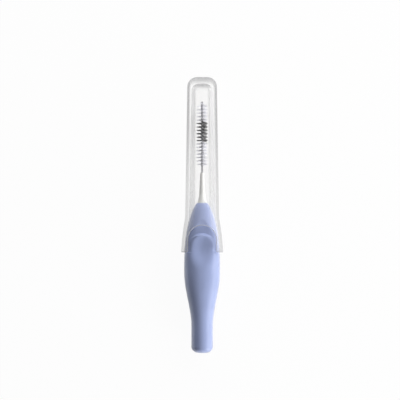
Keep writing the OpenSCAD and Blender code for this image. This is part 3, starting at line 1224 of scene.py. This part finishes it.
@dataclass(frozen=True)
class Cap:
    """The clear cap: a double skin, flared and cut by an arch at its mouth. Sizes in millimetres.

    Where a method is told outer, it works on the outside where that is true and on the cavity otherwise.
    """

    handle: Handle
    wire: Wire
    arch: Arch = field(default_factory=Arch)
    cavity_width: float = 5.54
    cavity_low_width: float = 6.98
    thickness: float = 7.4
    top_wall: float = 1.05
    mouth_wall: float = 0.76
    end_wall: float = 1.7
    tip_room: float = 4.6
    end_round: float = 2.8
    cavity_round: float = 2.1
    panel_width: float = 5.8
    cavity_panel_width: float = 2.6
    end_corner: float = 1.3
    mouth_corner: float = 2.6
    proud: float = 0.06
    fit_gap: float = 0.1
    flare_blend: float = 0.25
    lip_round: float = 0.24
    skirt_round: float = 0.45
    # Where the painted edge shade and glow fall: the cavity's share, the corners' reach and the growth from
    # the mouth.
    cavity_edge_share: float = 0.25
    corner_fade_share: float = 0.3
    mouth_share: float = 0.42
    clear_up_to: float = 0.27
    full_from: float = 0.9
    columns: int = 84
    side_length: float = 4.0
    fan_past_handle: float = 1.0
    fan_rows: int = 58
    straight_rows: int = 16
    closing_rows: int = 16
    end_rows: int = 9
    lip_rows: int = 5
    fine_steps: int = 600

    @property
    def mouth(self) -> float:
        """Height of the mouth."""
        return self.arch.mouth

    @property
    def cavity_top(self) -> float:
        """Height of the closed end of the cavity."""
        wire_top = self.wire.fold + self.wire.leg_radius + self.wire.diameter / 2
        return wire_top + self.tip_room

    @property
    def top(self) -> float:
        """Height of the closed end of the cap."""
        return self.cavity_top + self.end_wall

    def ending(self, outer: bool) -> tuple[float, float]:
        """Height of the closed end and radius of its rounding."""
        return (self.top, self.end_round) if outer else (self.cavity_top, self.cavity_round)

    def along(self, z: Array) -> Array:
        """Share of the way from the mouth to the closed end."""
        return (z - self.mouth) / (self.top - self.mouth)

    def wall(self, z: Array) -> Array:
        """Thickness of the wall, which grows from the mouth to the top of the flare."""
        grown = smooth((z - self.mouth) / (self.handle.length - self.mouth))
        return mix(self.mouth_wall, self.top_wall, grown)

    def corner(self, z: Array) -> Array:
        """Height of the section's rounded corners."""
        return mix(self.mouth_corner, self.end_corner, np.clip(self.along(z), 0.0, 1.0))

    def cavity_half_width(self, z: Array) -> Array:
        """Half width of the cavity: a straight taper, or the handle's shoulder where that is wider.

        Args:
            z: Height.

        Returns:
            The half width.
        """
        taper = mix(self.cavity_low_width / 2, self.cavity_width / 2, self.along(z))
        shoulder = self.handle.half_size(z, self.handle.belly_width) + self.fit_gap
        return soft_max(taper, shoulder, self.flare_blend)

    def half_thickness(self, z: Array) -> Array:
        """Half thickness of the cap's outside."""
        return mix(self.handle.belly_thickness / 2 + self.proud, self.thickness / 2, self.along(z))

    def cavity_front(self, x: Array, z: Array) -> Array:
        """Distance from the axis to the cavity's front: flat in the middle, then an elliptical corner.

        Args:
            x: Distance to the side.
            z: Height.

        Returns:
            The distances.
        """
        wide, flat, corner = self.cavity_half_width(z), self.cavity_panel_width / 2, self.corner(z)
        past = np.clip((np.abs(x) - flat) / (wide - flat), 0.0, 1.0)
        return self.half_thickness(z) - self.wall(z) - corner + corner * np.sqrt(1 - past**2)

    def section_sizes(self, z: Array, outer: bool) -> tuple[Array, Array, Array, Array]:
        """Sizes of the section, which the rounded end brings in by a quarter round.

        Args:
            z: Height.
            outer: Whether it is the outside's section.

        Returns:
            Half width, half thickness, half panel and corner height, the last two scaled as the first two.
        """
        wide, thick = self.cavity_half_width(z), self.half_thickness(z)
        if outer:
            wide, flat = wide + self.wall(z), self.panel_width / 2
        else:
            thick, flat = thick - self.wall(z), self.cavity_panel_width / 2
        end, radius = self.ending(outer)
        inset = rounding(end - z, radius)
        in_wide, in_thick = wide - inset, thick - inset
        return in_wide, in_thick, flat * in_wide / wide, self.corner(z) * in_thick / thick

    def section(self, p: Array, z: Array, outer: bool) -> tuple[Array, Array]:
        """Points of a quarter section.

        Args:
            p: Place from 0 at the middle of the panel to 1 at its edge, on to 2 round the elliptical
                corner by its angle, and to 3 at the middle of the straight side.
            z: Height.
            outer: Whether it is the outside's section.

        Returns:
            Distances from the axis to the side and to the front.
        """
        wide, thick, flat, corner = self.section_sizes(z, outer)
        angle = QUARTER_TURN * np.clip(2 - p, 0.0, 1.0)
        x = np.where(p < 1, flat * p, flat + (wide - flat) * np.cos(angle))
        y = np.where(p < 2, thick - corner + corner * np.sin(angle), (thick - corner) * (3 - p))
        return x, y

    def place_of_x(self, x: Array, z: Array, outer: bool) -> Array:
        """Finds where a quarter section reaches a distance to the side on its front.

        Args:
            x: The distance.
            z: Height.
            outer: Whether it is the outside's section.

        Returns:
            The p there.
        """
        wide, _, flat, _ = self.section_sizes(z, outer)
        share = np.clip((x - flat) / (wide - flat), 0.0, 1.0)
        return np.where(x < flat, x / flat, 2 - np.arccos(share) / QUARTER_TURN)

    def rim(self, inset: float, outer: bool) -> tuple[Array, Array]:
        """A quarter of the mouth's edge.

        It runs round the arch by its angle, down its side, round the foot of the skirt and along the
        mouth to the middle of the side. Each stretch has columns in proportion to its length.

        Args:
            inset: How far the edge is moved into the material.
            outer: Whether it is the outside's edge.

        Returns:
            The p and the height of each column.
        """
        radius, skirt = self.arch.width / 2, self.skirt_round
        lengths = np.array([
            radius * QUARTER_TURN,
            self.arch.middle - self.mouth - skirt,
            skirt * QUARTER_TURN,
            self.side_length,
        ])
        counts = np.round(lengths / lengths.sum() * self.columns).astype(int)
        counts[3] = self.columns - counts[:3].sum()
        turn = np.linspace(QUARTER_TURN, 0.0, counts[0], endpoint=False)
        side = np.linspace(self.arch.middle, self.mouth + skirt, counts[1], endpoint=False)
        foot = np.linspace(0.0, QUARTER_TURN, counts[2], endpoint=False)
        x = np.concatenate([
            (radius + inset) * np.cos(turn),
            np.full(counts[1], radius + inset),
            radius + skirt - (skirt - inset) * np.cos(foot),
        ])
        z = np.concatenate([
            self.arch.middle + (radius + inset) * np.sin(turn),
            side,
            self.mouth + skirt - (skirt - inset) * np.sin(foot),
            np.full(counts[3] + 1, self.mouth + inset),
        ])
        p_cut = self.place_of_x(x, z[: len(x)], outer)
        p_foot = self.place_of_x(np.array(radius + skirt), np.array(self.mouth + inset), outer)
        return np.concatenate([p_cut, np.linspace(float(p_foot), 3.0, counts[3] + 1)]), z

    def whole(self, x: Array, y: Array, z: Array) -> Array:
        """Turns quarter sections into whole rings, anticlockwise from the right-hand side.

        Args:
            x: Half widths, one row a ring and one column a place from the middle of the front to the side.
            y: Distances from the axis to the front, in the same order.
            z: Heights, in the same order.

        Returns:
            The rings' points.
        """
        quarters = []
        for x_side, y_side, forward in ((1, 1, False), (-1, 1, True), (-1, -1, False), (1, -1, True)):
            quarter = np.stack([x_side * x, y_side * y, z], axis=-1)
            quarters.append(quarter[:, :-1] if forward else quarter[:, :0:-1])
        return np.concatenate(quarters, axis=1)

    def even_places(self, z: float, count: int, outer: bool) -> Array:
        """Divides a quarter section into equal lengths.

        Args:
            z: Height.
            count: How many ends the lengths have.
            outer: Whether it is the outside's section.

        Returns:
            The p of each end.
        """
        fine = np.linspace(0.0, 3.0, self.fine_steps)
        x, y = self.section(fine, np.full_like(fine, z), outer)
        length = np.concatenate([[0.0], np.cumsum(np.hypot(np.diff(x), np.diff(y)))])
        return np.interp(np.linspace(0.0, length[-1], count), length, fine)

    def skin(self, outer: bool) -> Array:
        """Rings of one skin, from the mouth's edge to the closed end.

        The columns fan out from the edge and run straight from the top of the flare on: the height goes
        evenly to there, and p to its own even spacing along the section, by 1 less the cube of what is
        left of the way.

        Args:
            outer: Whether it is the outside.

        Returns:
            The rings' points.
        """
        p_low, z_low = self.rim(self.lip_round, outer)
        end, radius = self.ending(outer)
        fan_top = self.handle.length + self.fan_past_handle
        p_even = self.even_places(fan_top, len(p_low), outer)
        t = np.linspace(0.0, 1.0, self.fan_rows)[:, None]
        heights = np.concatenate([
            np.linspace(fan_top, end - radius, self.straight_rows)[1:],
            crowding(end - radius, end, self.closing_rows)[1:],
        ])[:, None]
        z = np.concatenate([mix(z_low, fan_top, t), np.broadcast_to(heights, (len(heights), len(p_low)))])
        p = np.concatenate([
            mix(p_low, p_even, 1 - (1 - t) ** 3),
            np.broadcast_to(p_even, (len(heights), len(p_low))),
        ])
        rows = self.whole(*self.section(p, z, outer), z)
        shrinking = np.linspace(1.0, 0.0, self.end_rows)[1:-1, None, None]
        return np.concatenate([rows, rows[-1] * (1 - UP) * shrinking + end * UP])

    def lip(self) -> Array:
        """Rings round the mouth's edge from the inner skin to the outer: a quarter round at each.

        At a turn t of a quarter round, the edge has moved out of the material by the round's radius times
        the sine of t and towards the other skin by that radius times 1 less its cosine.

        Returns:
            The rings' points.
        """
        def edge(inset: float, outer: bool) -> Array:
            """The whole edge of one skin.

            Args:
                inset: How far it is moved into the material.
                outer: Whether it is the outside's.

            Returns:
                The edge's points.
            """
            p, z = self.rim(inset, outer)
            x, y = self.section(p, z, outer)
            return self.whole(x[None], y[None], z[None])[0]

        across = edge(0.0, True) - edge(0.0, False)
        across /= np.linalg.norm(across, axis=-1, keepdims=True)
        turns = np.linspace(0.0, QUARTER_TURN, self.lip_rows + 1)[1:]
        radius = self.lip_round
        return np.stack([
            edge(radius * (1 - math.sin(t)), outer) + way * across * radius * (1 - math.cos(t))
            for outer, way, order in ((False, 1, turns), (True, -1, turns[::-1]))
            for t in order
        ])

    def side_shares(self, points: Array, outer: bool) -> tuple[Array, Array]:
        """How far points of a skin lie on its sides, and how far on their rounded corners, which place the
        painted shade and glow.

        Args:
            points: The skin's points.
            outer: Whether it is the outside.

        Returns:
            A share that is 1 up to where the closed end starts to round over and 0 at the end, and a
            share on the corners that fades to 0 on the flat front, back and sides. It is mouth_share
            from the mouth to clear_up_to of the way along, and eases to 1 at full_from of the way.
        """
        x, y, z = (np.abs(points[..., axis].ravel()) for axis in range(3))
        end, radius = self.ending(outer)
        wide, thick, flat, corner = self.section_sizes(np.minimum(z, end - radius), outer)
        past_panel = (x - flat) / (wide - flat) / self.corner_fade_share
        past_side = (y - thick + corner) / corner / self.corner_fade_share
        grown = smooth((self.along(z) - self.clear_up_to) / (self.full_from - self.clear_up_to))
        fullness = mix(self.mouth_share, 1.0, grown)
        return smooth((end - z) / radius), smooth(past_panel) * smooth(1 + past_side) * fullness

    def build(self, lay: Lay) -> None:
        """Builds the cap as one closed surface: down the cavity, round the lip and up the outside.

        These shares place the painted shade and light of the finish. The lip and the closed ends with their
        poles have all of the edge share, the outside its corners' share, and the cavity cavity_edge_share
        of its corners'. The cavity's corners also have the inner share, for their painted glow and shade,
        and the lip its own, for its painted highlight.

        Args:
            lay: Where the brush lies.
        """
        cavity, lip, outside = self.skin(False)[::-1], self.lip(), self.skin(True)
        surface = Surface.skin(np.concatenate([cavity, lip, outside]))
        on_lip, poles = np.ones(lip[..., 0].size), np.ones(2)
        inside, inside_corner = self.side_shares(cavity, False)
        around, around_corner = self.side_shares(outside, True)
        in_cavity = mix(1.0, self.cavity_edge_share * inside_corner, inside)
        surface.shares = {
            Share.EDGE: np.concatenate([in_cavity, on_lip, mix(1.0, around_corner, around), poles]),
            Share.INNER: np.concatenate([inside * inside_corner, 0 * on_lip, 0 * around, 0 * poles]),
            Share.LIP: np.concatenate([0 * inside, on_lip, 0 * around, 0 * poles]),
        }
        piece = Piece("clear_cap", Body.CAP, Slot.CAP, ("cap",))
        piece.fit(surface, lay, ClearPlastic().material())


@dataclass(frozen=True)
class Lamp:
    """One softbox: its way round from the right towards the tip and its lean from upright, in degrees.

    Its sides are in metres and its power in watts. Glossy pieces mirror it only where mirrored is true.
    """

    name: str
    way_round: float
    from_upright: float
    wide: float
    long: float
    power: float
    mirrored: bool = False
    distance: float = 0.42

    def hang(self, aim: Array) -> None:
        """Hangs it at its distance from the aim, with its light towards it.

        Args:
            aim: The point that it lights.
        """
        lamp = bpy.data.lights.new(self.name, "AREA")
        lamp.shape = "RECTANGLE"
        lamp.size, lamp.size_y, lamp.energy = self.wide, self.long, self.power
        lean, way = math.radians(self.from_upright), math.radians(self.way_round)
        out = math.sin(lean) * spokes(np.array(way)) + math.cos(lean) * UP
        holder = set_out(self.name, lamp)
        holder.location = aim + self.distance * out
        holder.rotation_euler = (0.0, lean, way)
        holder.visible_glossy = self.mirrored


@dataclass(frozen=True)
class Studio:
    """Pale floor, soft light from the right and the camera over the front of the brush. Sizes in metres."""

    lamps: tuple[Lamp, ...] = (
        Lamp("side_strip", way_round=0.0, from_upright=70.0, wide=0.2, long=0.8, power=0.9, mirrored=True),
        Lamp("tail_side_box", way_round=-45.0, from_upright=79.0, wide=0.15, long=0.25, power=1.6),
        Lamp("tip_side_box", way_round=45.0, from_upright=60.0, wide=0.2, long=0.2, power=0.6),
        Lamp("tip_box", way_round=90.0, from_upright=78.0, wide=0.2, long=0.2, power=1.4),
    )
    floor_half: float = 0.7
    floor_white: Colour = (0.9, 0.9, 0.9)
    floor_roughness: float = 0.9
    floor_glow: float = 0.95
    ambient: float = 0.2
    left_edge: float = -1.0
    right_edge: float = -0.1
    mirrored_left: float = 0.1
    mirrored_right: float = 0.9
    camera_distance: float = 0.25
    camera_near: float = 0.0025
    camera_tilt: float = 3.5
    frame_width: float = 0.1045
    aim_x: float = -0.00055
    aim_y: float = 0.00366

    def floor(self) -> None:
        """Lays the floor, which shows mostly its own white and keeps a faint shadow."""
        half = self.floor_half
        mesh = bpy.data.meshes.new("floor")
        corners = [(-half, -half, 0.0), (half, -half, 0.0), (half, half, 0.0), (-half, half, 0.0)]
        mesh.from_pydata(corners, [], [[0, 1, 2, 3]])
        shader = Shader(
            "white_floor", Base_Color=self.floor_white,
            Roughness=self.floor_roughness, Specular_IOR_Level=0.0,
        )
        seen = shader.ray("Is Camera Ray", "Is Glossy Ray", "Is Transmission Ray")
        share = shader.maths("MULTIPLY", seen, self.floor_glow)
        glow = shader.add("ShaderNodeEmission").outputs[0]
        shader.finish(shader.mixed(share, shader.surface.outputs[0], glow))
        mesh.materials.append(shader.material)
        set_out("floor", mesh)

    def sky(self) -> None:
        """Fills the room with a little light.

        The camera sees it white, and glossy pieces mirror a pale room that is darker on the left.
        """
        world = bpy.data.worlds.new("studio")
        world.use_nodes = True
        sky = Nodes(world.node_tree, "World Output")
        way = sky.add("ShaderNodeTexCoord").outputs["Generated"]
        across = sky.add("ShaderNodeSeparateXYZ", Vector=way).outputs["X"]
        room = sky.ramp(across, self.left_edge, self.right_edge, self.mirrored_left, self.mirrored_right)
        lit = sky.set(sky.nodes["Background"], Color=WHITE, Strength=self.ambient).outputs[0]
        mirrored = sky.add("ShaderNodeBackground", Color=WHITE, Strength=room).outputs[0]
        backdrop = sky.add("ShaderNodeBackground", Color=WHITE).outputs[0]
        lighting = sky.mixed(sky.ray("Is Glossy Ray"), lit, mirrored)
        sky.finish(sky.mixed(sky.ray("Is Camera Ray"), lighting, backdrop))
        bpy.context.scene.world = world

    def camera(self, aim: Array) -> None:
        """Sets the camera over the front of the brush, a little towards its tail.

        Args:
            aim: The point that it looks at.
        """
        lens = bpy.data.cameras.new("camera")
        lens.lens = lens.sensor_width * self.camera_distance / self.frame_width
        lens.clip_start = self.camera_near
        tilt = math.radians(self.camera_tilt)
        holder = set_out("camera", lens)
        holder.location = aim + self.camera_distance * np.array([0.0, -math.sin(tilt), math.cos(tilt)])
        holder.rotation_euler = (tilt, 0.0, 0.0)
        bpy.context.scene.camera = holder

    def build(self, lay: Lay) -> None:
        """Sets up the floor, the light and the camera.

        Args:
            lay: Where the brush lies.
        """
        aim = np.array([self.aim_x, self.aim_y, lay.axis_z])
        bpy.context.scene.view_settings.view_transform = "Standard"
        self.floor()
        self.sky()
        for lamp in self.lamps:
            lamp.hang(aim)
        self.camera(aim)


def corners(box: tuple) -> list[list[float]]:
    """The two corners of a box as plain lists of numbers."""
    return [[float(c) for c in corner] for corner in box]


def main() -> None:
    """Builds the studio and every piece of the brush in order."""
    logging.basicConfig(level=logging.INFO, format="%(name)s: %(message)s")
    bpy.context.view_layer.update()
    lay = Lay.from_frame()
    Studio().build(lay)
    handle = Handle()
    core = Core(handle)
    wire = Wire(core)
    brush = Brush(wire)
    cap = Cap(handle, wire)
    handle.build(lay, cap, core)
    core.build(lay, wire)
    wire.build(lay)
    brush.build(lay)
    cap.build(lay)


if __name__ == "__main__":
    main()
